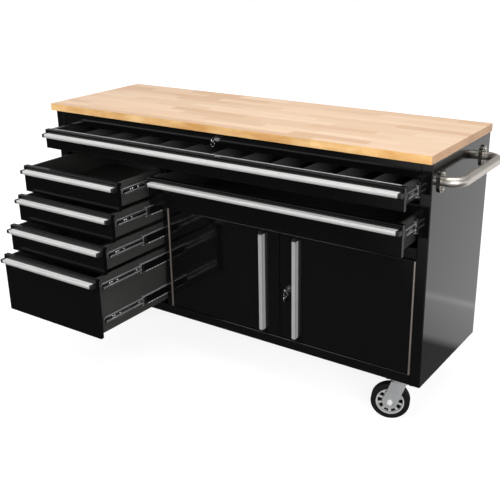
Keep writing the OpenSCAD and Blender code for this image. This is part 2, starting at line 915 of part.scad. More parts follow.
// Both legs of a fork, from the crown down round the axle
module fork_legs(lean) {
  for (y = [-fork_gap / 2, fork_gap / 2 + castor_t])
    translate([0, y, 0]) rotate([90, 0, 0]) linear_extrude(castor_t)
      difference() {
        hull() {
          translate([-lean, wheel_r]) circle(leg_w / 2);
          translate([-lean / 3 - leg_w / 2, crown_z - 6]) square([leg_w, 6]);
        }
        translate([-lean, wheel_r]) circle(axle_r + run);
      }
}

module swivel_fork() {
  x0 = -trail / 3 - leg_w / 2;
  x1 = 26;
  difference() {
    union() {
      translate([0, 0, crown_z]) cylinder(r = crown_r, h = crown_t);
      fork_legs(trail);
      translate([x0, -fork_gap / 2 - castor_t, crown_z - castor_t])
        cube([x1 - x0, fork_gap + 2 * castor_t, castor_t]);
    }
    translate([0, 0, crown_z - castor_t - 1]) cylinder(r = kingpin_r + run, h = crown_t + castor_t + 2);
  }
  axle(trail);
}

// Axle bolt with a hexagon head and nut
module axle(lean) {
  half = fork_gap / 2 + castor_t;
  head_r = axle_r + 4;
  head_t = 6;
  translate([-lean, 0, wheel_r]) rotate([90, 0, 0]) {
    cylinder(r = axle_r, h = 2 * half + 2, center = true);
    translate([0, 0, half]) cylinder(r = head_r, h = head_t, $fn = 6);
    translate([0, 0, -half - head_t]) cylinder(r = head_r, h = head_t, $fn = 6);
  }
}

// Tyre with a flat tread, whose round shoulders leave it at a soft edge
module tyre() {
  shoulder = 6;
  edge_angle = 20;
  drop = shoulder * cos(edge_angle);
  start = shoulder * sin(edge_angle);
  rotate([90, 0, 0]) rotate_extrude() difference() {
    translate([hub_r, -wheel_w / 2]) square([wheel_r - hub_r, wheel_w]);
    for (m = [-1, 1]) translate([wheel_r - drop, m * (wheel_w / 2 - shoulder)]) difference() {
      translate([0, m > 0 ? start : -shoulder - 1]) square([drop + 1, shoulder + 1 - start]);
      circle(shoulder);
    }
  }
}

// Hub: a rim and a boss joined by a web with a ring of tapered pockets on each side
module hub() {
  pockets = 10;
  pocket_d = 4;
  boss_r = 15;
  rim_t = 4;
  web_half = 6;
  r0 = boss_r + 13;
  r1 = hub_r - rim_t - 2.5;
  rotate([90, 0, 0]) difference() {
    cylinder(r = hub_r, h = wheel_w - 2, center = true);
    for (m = [0, 1]) mirror([0, 0, m]) {
      translate([0, 0, web_half]) difference() {
        cylinder(r = hub_r - rim_t, h = wheel_w);
        translate([0, 0, -1]) cylinder(r = boss_r, h = wheel_w);
      }
      for (i = [0 : pockets - 1])
        rotate(i * 360 / pockets) translate([0, 0, web_half - pocket_d]) linear_extrude(wheel_w)
          polygon([[r0, -4], [r1, -6.5], [r1, 6.5], [r0, 4]]);
    }
    cylinder(r = axle_r + run, h = 2 * wheel_w, center = true);
  }
}

module castor_plates() {
  color(zinc) {
    translate([swivel_x, -castor_row, 0]) swivel_plate();
    translate([swivel_x - rear_inset, castor_row, 0]) swivel_plate();
  }
}

module rigid_forks() {
  color(zinc) for (y = [-castor_row, castor_row]) translate([-swivel_x, y, 0]) {
    castor_plate();
    translate([-leg_w / 2, -fork_gap / 2 - castor_t, crown_z])
      cube([leg_w, fork_gap + 2 * castor_t, castor_h - castor_t - crown_z]);
    fork_legs(0);
    axle(0);
  }
}

module at_swivel(turn, inset, y) {
  translate([swivel_x - inset, y, 0]) rotate(turn) children();
}

module at_wheel(x, y) {
  translate([x, y, wheel_r]) children();
}

// ---- Nodes ----

module tray_drawer() {
  drawer(TRAY);
  slide_covers();
}

module front_castor() {
  at_swivel(front_turn, 0, -castor_row) children();
}

module rear_castor() {
  at_swivel(rear_turn, rear_inset, castor_row) children();
}

worktop();
side_panel_left();
side_panel_right();
back_panel();
base_pan();
frame_rails();
partition();
slide_brackets();
slide_channels();
shelf();
hinge_frame_leaves();
side_handle();
castor_plates();
rigid_forks();
top_lock();
mullion();
tray_drawer();
tray_dividers();
drawer_pull(TRAY);  // tray_pull
runners(TRAY);  // tray_runners
carriers(TRAY);  // tray_carriers
drawer(WIDE);  // wide_drawer
drawer_pull(WIDE);  // wide_pull
runners(WIDE);  // wide_runners
carriers(WIDE);  // wide_carriers
drawer(FIRST);  // first_drawer
drawer_pull(FIRST);  // first_pull
runners(FIRST);  // first_runners
carriers(FIRST);  // first_carriers
drawer(SECOND);  // second_drawer
drawer_pull(SECOND);  // second_pull
runners(SECOND);  // second_runners
carriers(SECOND);  // second_carriers
drawer(THIRD);  // third_drawer
drawer_pull(THIRD);  // third_pull
runners(THIRD);  // third_runners
carriers(THIRD);  // third_carriers
drawer(DEEP);  // deep_drawer
drawer_pull(DEEP);  // deep_pull
runners(DEEP);  // deep_runners
carriers(DEEP);  // deep_carriers
left_door();
door_pull(door_mid - door_bar_in);  // left_door_pull
left_door_leaf();
right_door();
door_pull(door_mid + door_bar_in);  // right_door_pull
right_door_leaf();
door_lock();
top_key();
door_key();
color(zinc) front_castor() swivel_fork();  // front_fork
color(dark) front_castor() at_wheel(-trail, 0) tyre();  // front_tyre
color("gray") front_castor() at_wheel(-trail, 0) hub();  // front_hub
color(zinc) rear_castor() swivel_fork();  // rear_fork
color(dark) rear_castor() at_wheel(-trail, 0) tyre();  // rear_tyre
color("gray") rear_castor() at_wheel(-trail, 0) hub();  // rear_hub
color(dark) at_wheel(-swivel_x, -castor_row) tyre();  // left_front_tyre
color("gray") at_wheel(-swivel_x, -castor_row) hub();  // left_front_hub
color(dark) at_wheel(-swivel_x, castor_row) tyre();  // left_rear_tyre
color("gray") at_wheel(-swivel_x, castor_row) hub();  // left_rear_hub
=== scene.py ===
"""Looks for a rolling workbench with drawers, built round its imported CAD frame."""

import math

import bmesh
import bpy
import numpy as np
from mathutils import Euler, Matrix, Vector


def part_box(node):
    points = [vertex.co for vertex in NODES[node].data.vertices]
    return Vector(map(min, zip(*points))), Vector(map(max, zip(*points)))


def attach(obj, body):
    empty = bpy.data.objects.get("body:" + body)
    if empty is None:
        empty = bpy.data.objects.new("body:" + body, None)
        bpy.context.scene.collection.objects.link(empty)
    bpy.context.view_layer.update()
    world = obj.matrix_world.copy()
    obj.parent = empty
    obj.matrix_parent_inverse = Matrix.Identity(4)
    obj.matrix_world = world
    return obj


bl_info = {
    "name": "Rolling workbench looks",
    "version": (1, 0, 0),
    "blender": (4, 5, 0),
    "location": "View3D > Sidebar > Workbench",
    "description": "Finishes, fasteners and stage for a rolling workbench with drawers",
    "category": "Object",
}

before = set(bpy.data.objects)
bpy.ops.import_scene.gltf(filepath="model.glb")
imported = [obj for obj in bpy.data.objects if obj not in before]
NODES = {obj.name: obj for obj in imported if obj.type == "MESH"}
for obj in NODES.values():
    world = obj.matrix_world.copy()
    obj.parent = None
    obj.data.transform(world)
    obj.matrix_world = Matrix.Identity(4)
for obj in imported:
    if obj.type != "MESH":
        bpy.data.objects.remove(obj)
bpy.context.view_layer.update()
MM = 0.001
DRAWERS = ["tray", "wide", "first", "second", "third", "deep"]
DOORS = ["left_door", "right_door"]
UP = (0.0, 0.0, 1.0)
DOWN = (0.0, 0.0, -1.0)
BACKWARD = (0.0, 1.0, 0.0)
RIGHTWARD = (1.0, 0.0, 0.0)
LEFTWARD = (-1.0, 0.0, 0.0)
WHITE = (1.0, 1.0, 1.0, 1.0)
POCKET_RADII = (27.5 * MM, 40 * MM)
# Stretches of a metal's fine lines along each axis, and of even marks without a direction
LINES_X = (3.0, 1400.0, 1400.0)
LINES_Y = (1400.0, 3.0, 1400.0)
LINES_Z = (1400.0, 1400.0, 3.0)
FINE_MARKS = (300.0, 300.0, 300.0)
SOFT_MARKS = (60.0, 60.0, 60.0)
CAST_MARKS = (40.0, 40.0, 40.0)


# ---- Settings a user may change ----


def size_of(name, text, default):
    """A length in metres for a property group."""
    return bpy.props.FloatProperty(
        name=name, description=text, default=default, min=0.0, unit="LENGTH", precision=5
    )


def level_of(name, text, default):
    """A brightness for a property group."""
    return bpy.props.FloatProperty(name=name, description=text, default=default, min=0.0)


def colour_of(name, text, default):
    """A linear colour for a property group."""
    return bpy.props.FloatVectorProperty(
        name=name, description=text, default=default, min=0.0, max=1.0, size=3, subtype="COLOR"
    )


class WorkbenchColours(bpy.types.PropertyGroup):
    """Base colours of the finishes."""

    wood_pale: colour_of("Pale stave", "Palest staves of the top", (0.90, 0.67, 0.475))
    wood_deep: colour_of("Deep stave", "Darkest staves of the top", (0.66, 0.405, 0.225))
    wood_front: colour_of("Front edge", "Oiled front and back edges", (0.74, 0.36, 0.095))
    wood_sap: colour_of("Sapwood", "Paler lengths of the front and back edges", (0.84, 0.55, 0.24))
    wood_rosy: colour_of("Rosy stave", "What some staves lean to", (0.84, 0.54, 0.36))
    wood_glue: colour_of("Glue line", "Glue lines and pores", (0.36, 0.20, 0.09))
    wood_end: colour_of("End grain", "Sawn ends of the staves", (0.62, 0.36, 0.19))
    enamel: colour_of("Enamel", "Gloss enamel on the steel", (0.003, 0.003, 0.0033))
    satin: colour_of("Satin", "Satin coat on the drawers' trays", (0.043, 0.042, 0.040))
    divider: colour_of("Divider", "Satin coat on the tray's dividers", (0.12, 0.12, 0.12))
    aluminium: colour_of("Aluminium", "Drawers' pull bars", (0.70, 0.70, 0.69))
    door_bar: colour_of("Door bar", "Doors' pull bars", (0.44, 0.44, 0.435))
    plastic: colour_of("Plastic", "End caps of the pull bars", (0.008, 0.008, 0.008))
    zinc: colour_of("Zinc", "Slides and castors", (0.76, 0.77, 0.78))
    hinge: colour_of("Hinge", "Piano hinges", (0.38, 0.32, 0.29))
    nickel: colour_of("Nickel", "Screws and the rims on the slides", (0.70, 0.69, 0.67))
    # The trim colour is a painted highlight along the tray's lip.
    trim: colour_of("Trim", "Bead along the tray's front", (0.42, 0.42, 0.42))
    stainless: colour_of("Stainless", "Side handle", (0.66, 0.615, 0.56))
    # The flange colour is a painted dark reflection.
    flange: colour_of("Flange", "Flanges of the side handle", (0.2, 0.185, 0.17))
    chrome: colour_of("Chrome", "Locks and keys", (0.42, 0.42, 0.42))
    hub: colour_of("Hub", "Wheel hubs", (0.50, 0.50, 0.49))
    bolt: colour_of("Axle bolt", "Heads of the axle bolts", (0.92, 0.92, 0.91))
    # The pocket colour is painted shade in the hubs' pockets.
    pocket: colour_of("Pocket", "Pockets in the wheel hubs", (0.005, 0.005, 0.005))
    tyre: colour_of("Tyre", "Wheel treads", (0.006, 0.006, 0.0065))


class WorkbenchSizes(bpy.types.PropertyGroup):
    """Sizes of the patterns and of the small parts."""

    stave_width: size_of("Stave width", "Width of a stave of the top", 0.041)
    stave_length: size_of("Stave length", "Usual length of a stave", 0.27)
    edge_round: size_of("Edge round", "Round on the edges of the top", 0.0022)
    ball: size_of("Ball", "Radius of the slides' balls", 0.0018)
    slide_screw: size_of("Slide screw", "Radius of a screw head in a slide", 0.0048)
    window_height: size_of("Window height", "Height of a carrier's ball window", 0.0036)
    window_width: size_of("Window width", "Width of a carrier's ball window", 0.009)
    bead: size_of("Bead", "Radius of the bead along the tray's front", 0.0017)
    bead_back: size_of("Bead place", "From the tray's face back to its bead", 0.0183)
    panel_screw: size_of("Panel screw", "Radius of a screw head in a panel", 0.0042)
    castor_bolt: size_of("Castor bolt", "Radius of the bolt heads under the castor plates", 0.0075)


class WorkbenchStage(bpy.types.PropertyGroup):
    """Levels of the studio light."""

    world: level_of("World", "Level of the light from all round", 0.42)
    floor_glow: level_of("Floor", "Floor brightness seen in the front faces", 0.055)
    side_glow: level_of("Side", "Backdrop brightness seen in the right side", 0.8)


def settings(kind):
    """One of the scene's property groups: colours, sizes or stage."""
    return getattr(bpy.context.scene, "workbench_" + kind)


# ---- Node helpers ----


def fill(tree, node, inputs):
    """Sets a node's inputs to plain values, or links them to outputs. A node stands for its first one."""
    for key, value in inputs.items():
        if isinstance(value, bpy.types.Node):
            value = value.outputs[0]
        if isinstance(value, bpy.types.NodeSocket):
            tree.links.new(value, node.inputs[key])
        else:
            node.inputs[key].default_value = value
    return node


def put(tree, kind, inputs=None, **fields):
    """A new node with these fields and inputs."""
    made = tree.nodes.new(kind)
    for key, value in fields.items():
        setattr(made, key, value)
    return fill(tree, made, inputs or {})


def calc(tree, operation, *terms, clamp=False):
    """A Math node on these terms."""
    inputs = dict(enumerate(terms))
    return put(tree, "ShaderNodeMath", inputs, operation=operation, use_clamp=clamp)


def times(tree, first, second):
    """Two values multiplied."""
    return calc(tree, "MULTIPLY", first, second)


def scaled(tree, vector, scale):
    """A vector multiplied by another."""
    return put(tree, "ShaderNodeVectorMath", {0: vector, 1: scale}, operation="MULTIPLY")


def noise(tree, vector, scale, detail=3.0, roughness=0.5):
    """A Noise texture."""
    inputs = {"Vector": vector, "Scale": scale, "Detail": detail, "Roughness": roughness}
    return put(tree, "ShaderNodeTexNoise", inputs)


def blend(tree, share, first, second, mode="MIX"):
    """Two colours mixed."""
    inputs = {0: share, 6: first, 7: second}
    return put(tree, "ShaderNodeMix", inputs, data_type="RGBA", blend_type=mode).outputs[2]


def shaded(tree, colour, shade):
    """A colour multiplied by one value."""
    grey = put(tree, "ShaderNodeCombineColor", {0: shade, 1: shade, 2: shade})
    return blend(tree, 1.0, colour, grey, "MULTIPLY")


def spread(tree, value, low, high, to_low=0.0, to_high=1.0):
    """A value carried from one range to another, held at its ends."""
    inputs = {0: value, 1: low, 2: high, 3: to_low, 4: to_high}
    return put(tree, "ShaderNodeMapRange", inputs)


def parts_of(tree, vector):
    """X, Y and Z of a vector."""
    return put(tree, "ShaderNodeSeparateXYZ", {0: vector}).outputs


def own_place(tree):
    """Object coordinates."""
    return tree.nodes.new("ShaderNodeTexCoord").outputs["Object"]


def squareness(tree, axis, low, high):
    """From 0 where the normal's part along an axis is low to 1 where it is high."""
    normal = tree.nodes.new("ShaderNodeNewGeometry").outputs["Normal"]
    return spread(tree, calc(tree, "ABSOLUTE", parts_of(tree, normal)[axis]), low, high)


def ray_kinds(tree):
    """Whether the camera sees this, and whether gloss or glass does."""
    path = tree.nodes.new("ShaderNodeLightPath").outputs
    return path["Is Camera Ray"], calc(tree, "MAXIMUM", path["Is Glossy Ray"], path["Is Transmission Ray"])


def cleared_tree(owner):
    """The emptied node tree of a material or a world."""
    owner.use_nodes = True
    owner.node_tree.nodes.clear()
    return owner.node_tree


def node_group(name, inputs, outputs, kind="Shader", result="Float"):
    """An empty node group with named sockets, its inputs' values and its output node."""
    group = bpy.data.node_groups.new(name, kind + "NodeTree")
    for key, socket_kind, default in inputs:
        made = group.interface.new_socket(key, in_out="INPUT", socket_type="NodeSocket" + socket_kind)
        if default is not None:
            made.default_value = default
    for key in outputs:
        group.interface.new_socket(key, in_out="OUTPUT", socket_type="NodeSocket" + result)
    return group, group.nodes.new("NodeGroupInput").outputs, group.nodes.new("NodeGroupOutput")


def made_once(make):
    """The group that make builds, built at its first use only."""
    name = make.__name__
    return bpy.data.node_groups.get(name) or make(name)


def grouped(tree, make, inputs):
    """The outputs of a shader group placed in a material with its own values."""
    return put(tree, "ShaderNodeGroup", inputs, node_tree=made_once(make)).outputs


# ---- Shared effects. Each takes its place from this input ----

VECTOR = ("Vector", "Vector", None)


def coat_film(name):
    """Uneven gloss and orange peel of a sprayed or moulded surface."""
    group, given, end = node_group(
        name,
        [VECTOR, ("Roughness", "Float", 0.1), ("Unevenness", "Float", 0.03), ("Peel Scale", "Float", 300.0)],
        ["Roughness", "Height"],
    )
    place = given["Vector"]
    cloud = noise(group, place, 9.0, 4.0)
    rub = noise(group, scaled(group, place, (30.0, 30.0, 4.0)), 1.0, 2.0)
    both = calc(group, "MULTIPLY_ADD", rub, 0.4, times(group, cloud, 0.6))
    offset = times(group, calc(group, "SUBTRACT", both, 0.5), given["Unevenness"])
    rough = calc(group, "ADD", times(group, offset, 2.0), given["Roughness"], clamp=True)
    peel = noise(group, place, given["Peel Scale"], 2.0)
    fill(group, end, {"Roughness": rough, "Height": peel})
    return group


def drawn_lines(name):
    """Fine lines of brushed, drawn or rolled metal, along the axis with the small stretch."""
    group, given, end = node_group(
        name,
        [VECTOR, ("Stretch", "Vector", LINES_X), ("Roughness", "Float", 0.3), ("Depth", "Float", 0.1)],
        ["Shade", "Roughness", "Height"],
    )
    line = noise(group, scaled(group, given["Vector"], given["Stretch"]), 1.0, 3.0, 0.6)
    cloud = noise(group, given["Vector"], 14.0, 3.0)
    lift = calc(group, "SUBTRACT", line, 0.5)
    drift = calc(group, "SUBTRACT", cloud, 0.5)
    depth = given["Depth"]
    rough = calc(group, "MULTIPLY_ADD", lift, depth, given["Roughness"])
    rough = calc(group, "MULTIPLY_ADD", drift, depth, rough, clamp=True)
    shade = calc(group, "MULTIPLY_ADD", calc(group, "ADD", lift, drift), depth, 1.0)
    fill(group, end, {"Shade": shade, "Roughness": rough, "Height": line})
    return group


def glued_staves(name):
    """Staves that run along X, glued side by side and end to end, with their glue lines and grain."""
    sizes = [VECTOR, ("Width", "Float", 0.04), ("Length", "Float", 0.3)]
    group, given, end = node_group(name, sizes, ["Tone", "Hue", "Joint", "Grain", "Pores"])
    x, y, z = parts_of(group, given["Vector"])
    row_start = 1.003
    row_shift = 17.37
    across = calc(group, "DIVIDE", calc(group, "ADD", y, row_start), given["Width"])
    along = calc(group, "DIVIDE", x, given["Length"])
    shifted = calc(group, "MULTIPLY_ADD", calc(group, "FLOOR", across), row_shift, along)
    lengths = {"W": shifted, "Scale": 1.0, "Randomness": 0.85}
    cell = put(group, "ShaderNodeTexVoronoi", lengths, voronoi_dimensions="1D", feature="F1")
    edge = put(group, "ShaderNodeTexVoronoi", lengths, voronoi_dimensions="1D", feature="DISTANCE_TO_EDGE")
    tone, hue, jump = put(group, "ShaderNodeSeparateColor", {0: cell.outputs["Color"]}).outputs
    end_gap = times(group, edge.outputs["Distance"], given["Length"])
    side_gap = times(group, calc(group, "PINGPONG", across, 0.5), given["Width"])
    joint = spread(group, calc(group, "MINIMUM", end_gap, side_gap), 0.00015, 0.0006, 1.0, 0.0)
    jumped_x = calc(group, "MULTIPLY_ADD", jump, 9.0, x)
    jumped_y = calc(group, "MULTIPLY_ADD", hue, 3.0, y)
    jumped = put(group, "ShaderNodeCombineXYZ", {0: jumped_x, 1: jumped_y, 2: z})
    wave = put(group, "ShaderNodeTexNoise", {"Vector": jumped, "Scale": 5.0, "Detail": 2.0}).outputs[1]
    shift = scaled(group, wave, (0.0, 0.012, 0.012))
    waved = put(group, "ShaderNodeVectorMath", {0: jumped, 1: shift}, operation="ADD")
    grain = noise(group, scaled(group, waved, (5.0, 130.0, 130.0)), 1.0, 5.0, 0.62)
    pores = noise(group, scaled(group, waved, (60.0, 1500.0, 1500.0)), 1.0, 2.0, 0.5)
    marks = {"Joint": joint, "Grain": grain, "Pores": spread(group, pores, 0.62, 0.75)}
    fill(group, end, {"Tone": tone, "Hue": hue, **marks})
    return group


# ---- Materials ----


def start_material(name, colour, metallic, **shader_values):
    """A material: its tree, its shader and its object coordinates."""
    material = bpy.data.materials.new(name)
    tree = cleared_tree(material)
    values = {"Base Color": (*colour, 1.0), "Metallic": metallic, **shader_values}
    shader = put(tree, "ShaderNodeBsdfPrincipled", values)
    put(tree, "ShaderNodeOutputMaterial", {"Surface": shader})
    return material, tree, shader, own_place(tree)


def raise_surface(tree, shader, height, distance):
    """Carries a height to the shader's normal."""
    bump = put(tree, "ShaderNodeBump", {"Height": height, "Distance": distance, "Strength": 1.0})
    fill(tree, shader, {"Normal": bump})


def sprayed(name, colour, roughness, unevenness, peel_scale, peel, level=0.5):
    """A sprayed or moulded finish with orange peel. level is its specular level."""
    material, tree, shader, place = start_material(name, colour, 0.0, **{"Specular IOR Level": level})
    values = {"Vector": place, "Roughness": roughness, "Unevenness": unevenness, "Peel Scale": peel_scale}
    film = grouped(tree, coat_film, values)
    fill(tree, shader, {"Roughness": film["Roughness"]})
    raise_surface(tree, shader, film["Height"], peel)
    return material


def gloss_enamel(name, roughness, level):
    """The cabinet's black enamel."""
    return sprayed(name, settings("colours").enamel, roughness, 0.03, 260.0, 0.00001, level)


def lined_metal(
    name, colour, stretch, metallic, roughness, depth=0.1, relief=0.00001, square=None, painted_shade_below=None
):
    """Metal with fine lines. Below a metallic of 1 a pale film lies on it, as on anodised or plated metal.

    square is an axis and the colour's factor on faces square to it: above 1 it is painted light on those
    faces, below 1 painted shade.
    The darkening towards the foot, a painted shade, is given as two heights, between which the colour rises
    to its full strength, and its share at the lower one.
    """
    material, tree, shader, place = start_material(name, colour, metallic)
    values = {"Vector": place, "Stretch": stretch, "Roughness": roughness, "Depth": depth}
    lines = grouped(tree, drawn_lines, values)
    toned = shaded(tree, (*colour, 1.0), lines["Shade"])
    # Faces square to the axis get the colour times the factor: painted light above 1, painted shade below 1.
    if square:
        axis, factor = square
        other = blend(tree, 1.0, toned, (factor, factor, factor, 1.0), "MULTIPLY")
        toned = blend(tree, squareness(tree, axis, 0.9, 0.98), toned, other)
    # Painted shade: the colour darkens towards the lower height.
    if painted_shade_below:
        low, high, share = painted_shade_below
        toned = shaded(tree, toned, spread(tree, parts_of(tree, place)[2], low, high, share, 1.0))
    fill(tree, shader, {"Base Color": toned, "Roughness": lines["Roughness"]})
    raise_surface(tree, shader, lines["Height"], relief)
    return material


def stave_wood(name):
    """Lacquered staves, deeper in colour on the cut edges."""
    colours = settings("colours")
    sizes = settings("sizes")
    coat = {"Coat Weight": 0.12, "Coat Roughness": 0.25}
    material, tree, shader, place = start_material(name, colours.wood_pale, 0.0, **coat)
    values = {"Vector": place, "Width": sizes.stave_width, "Length": sizes.stave_length}
    staves = grouped(tree, glued_staves, values)
    tone = calc(tree, "POWER", staves["Tone"], 1.5)
    streak = times(tree, calc(tree, "SUBTRACT", staves["Grain"], 0.5), 0.8)
    share = calc(tree, "ADD", times(tree, tone, 0.8), streak, clamp=True)
    top = blend(tree, share, (*colours.wood_pale, 1.0), (*colours.wood_deep, 1.0))
    top = blend(tree, times(tree, staves["Hue"], 0.3), top, (*colours.wood_rosy, 1.0))
    patchy = spread(tree, noise(tree, scaled(tree, place, (8.0, 8.0, 22.0)), 1.0, 4.0), 0.34, 0.66)
    shade = calc(tree, "MULTIPLY_ADD", share, -0.16, calc(tree, "MULTIPLY_ADD", patchy, 0.16, 0.9))
    oiled = blend(tree, patchy, (*colours.wood_front, 1.0), (*colours.wood_sap, 1.0))
    faced = blend(tree, squareness(tree, 1, 0.3, 0.8), top, shaded(tree, oiled, shade))
    sawn = shaded(tree, (*colours.wood_end, 1.0), shade)
    ended = blend(tree, squareness(tree, 0, 0.3, 0.8), faced, sawn)
    glued = times(tree, staves["Joint"], 0.3)
    dark = calc(tree, "MAXIMUM", glued, times(tree, staves["Pores"], 0.2))
    rough = calc(tree, "MULTIPLY_ADD", staves["Grain"], 0.15, 0.36)
    lined = blend(tree, dark, ended, (*colours.wood_glue, 1.0))
    fill(tree, shader, {"Base Color": lined, "Roughness": rough})
    height = calc(tree, "SUBTRACT", staves["Grain"], times(tree, staves["Joint"], 0.8))
    raise_surface(tree, shader, height, 0.00012)
    return material


def finish(node_names, material):
    """Gives CAD nodes a material, in place of the one they came with."""
    for name in node_names:
        slots = NODES[name].data.materials
        slots.clear()
        slots.append(material)


def vertex_places(mesh):
    """A mesh's vertices as rows of numbers."""
    places = np.empty(len(mesh.vertices) * 3)
    mesh.vertices.foreach_get("co", places)
    return places.reshape(-1, 3)


def second_finish(name, material, chosen):
    """A second material on the faces of a CAD node whose middle is chosen."""
    mesh = NODES[name].data
    mesh.materials.append(material)
    index = len(mesh.materials) - 1
    picked = [index if chosen(face.center) else face.material_index for face in mesh.polygons]
    mesh.polygons.foreach_set("material_index", picked)
    mesh.update()


def nodes_ending(*endings):
    """Names of the CAD nodes with one of these endings."""
    return [name for name in NODES if name.endswith(endings)]


def new_object(name, data):
    """An object in the scene."""
    made = bpy.data.objects.new(name, data)
    bpy.context.scene.collection.objects.link(made)
    return made


# ---- Small parts. The scattered ones are made at the origin, seated on Z = 0 and looking along Z ----


def joined(shape, loops, wrap=False):
    """Adds quads from each closed loop of vertices to the next, and from the last to the first to wrap."""
    for low, high in zip(loops, loops[1:] + loops[: 1 if wrap else 0]):
        for step in range(len(low)):
            after = (step + 1) % len(low)
            shape.faces.new((low[step], low[after], high[after], high[step]))


def spun(shape, rings, sides):
    """Adds rings of points (radius, height) round Z, joined by quads. Returns the rings' vertices."""
    turns = [2.0 * math.pi * step / sides for step in range(sides)]
    loops = []
    for radius, height in rings:
        ring = [(radius * math.cos(turn), radius * math.sin(turn), height) for turn in turns]
        loops.append([shape.verts.new(place) for place in ring])
    joined(shape, loops)
    return loops


def rounded_outline(width, height, corner, shares, inset=0.0):
    """Points round a rectangle with round corners, at these shares of each corner's quarter turn."""
    radius = corner - inset
    points = []
    for quarter, (x, y) in enumerate(((1, 1), (-1, 1), (-1, -1), (1, -1))):
        for share in shares:
            turn = math.pi / 2.0 * (quarter + share)
            across = x * (width / 2.0 - corner) + radius * math.cos(turn)
            points.append((across, y * (height / 2.0 - corner) + radius * math.sin(turn)))
    return points


def finished_part(shape, name, smooth):
    """The shape as an object in the scene."""
    bmesh.ops.recalc_face_normals(shape, faces=shape.faces)
    mesh = bpy.data.meshes.new(name)
    shape.to_mesh(mesh)
    shape.free()
    mesh.polygons.foreach_set("use_smooth", [smooth] * len(mesh.polygons))
    return new_object(name, mesh)


def plate(name, width, height, corner, shares, layers, smooth, hollow=False):
    """A rounded plate, or a ring. A layer is a height and how far its outline lies in."""
    shape = bmesh.new()
    loops = []
    for lift, inset in layers:
        outline = rounded_outline(width, height, corner, shares, inset)
        loops.append([shape.verts.new((x, y, lift)) for x, y in outline])
    joined(shape, loops, wrap=hollow)
    if not hollow:
        shape.faces.new(list(reversed(loops[0])))
        shape.faces.new(loops[-1])
    return finished_part(shape, name, smooth)


def pan_screw(radius):
    """A domed screw head with a cross recess."""
    shape = bmesh.new()
    height = radius * 0.5
    profile = [(1.0, 0.0), (1.0, 0.3), (0.94, 0.62), (0.80, 0.86), (0.6, 1.0)]
    rings = spun(shape, [(radius * r, height * h) for r, h in profile], 20)
    long, wide, deep = radius * 0.46, radius * 0.11, height * 0.55
    arm = [(long, -wide), (long, wide), (wide, wide)]
    cross = []
    for _ in range(4):
        cross += arm
        arm = [(-y, x) for x, y in arm]
    rim = [shape.verts.new((x, y, height)) for x, y in cross]
    base = [shape.verts.new((x * 0.8, y * 0.8, height - deep)) for x, y in cross]
    edges = []
    for loop in (rings[-1], rim):
        for first, second in zip(loop, loop[1:] + loop[:1]):
            edges.append(shape.edges.get((first, second)) or shape.edges.new((first, second)))
    bmesh.ops.triangle_fill(shape, edges=edges, use_beauty=True)
    for face in [f for f in shape.faces if all(v in rim for v in f.verts)]:
        shape.faces.remove(face)
    joined(shape, [rim, base])
    shape.faces.new(base)
    return finished_part(shape, "pan screw", False)


def hex_bolt(radius):
    """A hexagon bolt head with chamfered corners on its washer."""
    shape = bmesh.new()
    washer = radius * 0.16
    top = washer + radius * 0.68
    disc = [(radius * 1.35, 0.0), (radius * 1.35, washer * 0.8), (radius * 1.28, washer)]
    head = [(radius, washer), (radius, top - radius * 0.12), (radius * 0.86, top)]
    for profile, sides in ((disc, 28), (head, 6)):
        shape.faces.new(spun(shape, profile, sides)[-1])
    return finished_part(shape, "hexagon bolt", False)


def slide_ball(radius):
    """A ball, centred at the origin, with its pocket's ring of cage metal."""
    shape = bmesh.new()
    turns = [math.pi * (0.06 + 0.88 * step / 8) for step in range(9)]
    rings = spun(shape, [(radius * math.sin(t), -radius * math.cos(t)) for t in turns], 14)
    shape.faces.new(rings[0])
    shape.faces.new(rings[-1])
    lip = radius * 0.18
    profile = [(1.02, -lip), (1.35, -lip), (1.35, lip), (1.02, lip), (1.02, -lip)]
    spun(shape, [(radius * r, h) for r, h in profile], 14)
    return finished_part(shape, "slide ball", True)


def pressed_rim(height, width):
    """A rounded bead round an opening's edge, its height along X and its width along Y."""
    half_band = 1.5 * MM
    half_thick = 0.4 * MM
    turns = [2.0 * math.pi * side / 10 for side in range(10)]
    layers = [(half_thick * (1.0 + math.sin(t)), half_band * (1.0 - math.cos(t))) for t in turns]
    shares = [step / 6.0 for step in range(7)]
    return plate("pressed rim", height, width, 3.6 * MM, shares, layers, True, hollow=True)


def ball_window(height, width):
    """A shallow pill, its height along X and its width along Y."""
    layers = ((0.0, 0.0), (0.3 * MM, 0.0), (0.4 * MM, 0.2 * MM))
    return plate("ball window", height, width, height / 2.0, (1 / 6, 1 / 2, 5 / 6), layers, True)


def corner_tab(width, height, thick):
    """A sheet metal tab with rounded corners and an eased edge, its width along X."""
    layers = ((0.0, 0.0), (thick * 0.7, 0.0), (thick, thick * 0.3))
    return plate("corner tab", width, height, 3.0 * MM, [step / 5.0 for step in range(6)], layers, False)


def edge_bead(name, start, length, radius):
    """A half-round bead along X on a flat ledge, with rounded ends."""
    shape = bmesh.new()
    ends = [(radius * (1.0 - math.cos(t)), math.sin(t)) for t in (0.08, 0.5, 1.0, math.pi / 2.0)]
    middle = [(radius + (length - 2.0 * radius) * step / 40, 1.0) for step in range(1, 40)]
    turns = [math.pi * step / 10 for step in range(11)]
    loops = []
    for offset, grown in ends + middle + [(length - offset, grown) for offset, grown in reversed(ends)]:
        x = start[0] + offset
        size = grown * radius
        ring = [(x, start[1] + size * math.cos(t), start[2] + size * math.sin(t)) for t in turns]
        loops.append([shape.verts.new(place) for place in ring])
    joined(shape, loops)
    shape.faces.new(loops[0])
    shape.faces.new(loops[-1])
    return finished_part(shape, name, True)


def carried(piece, body):
    """The piece, riding on a body."""
    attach(piece, body)
    return piece


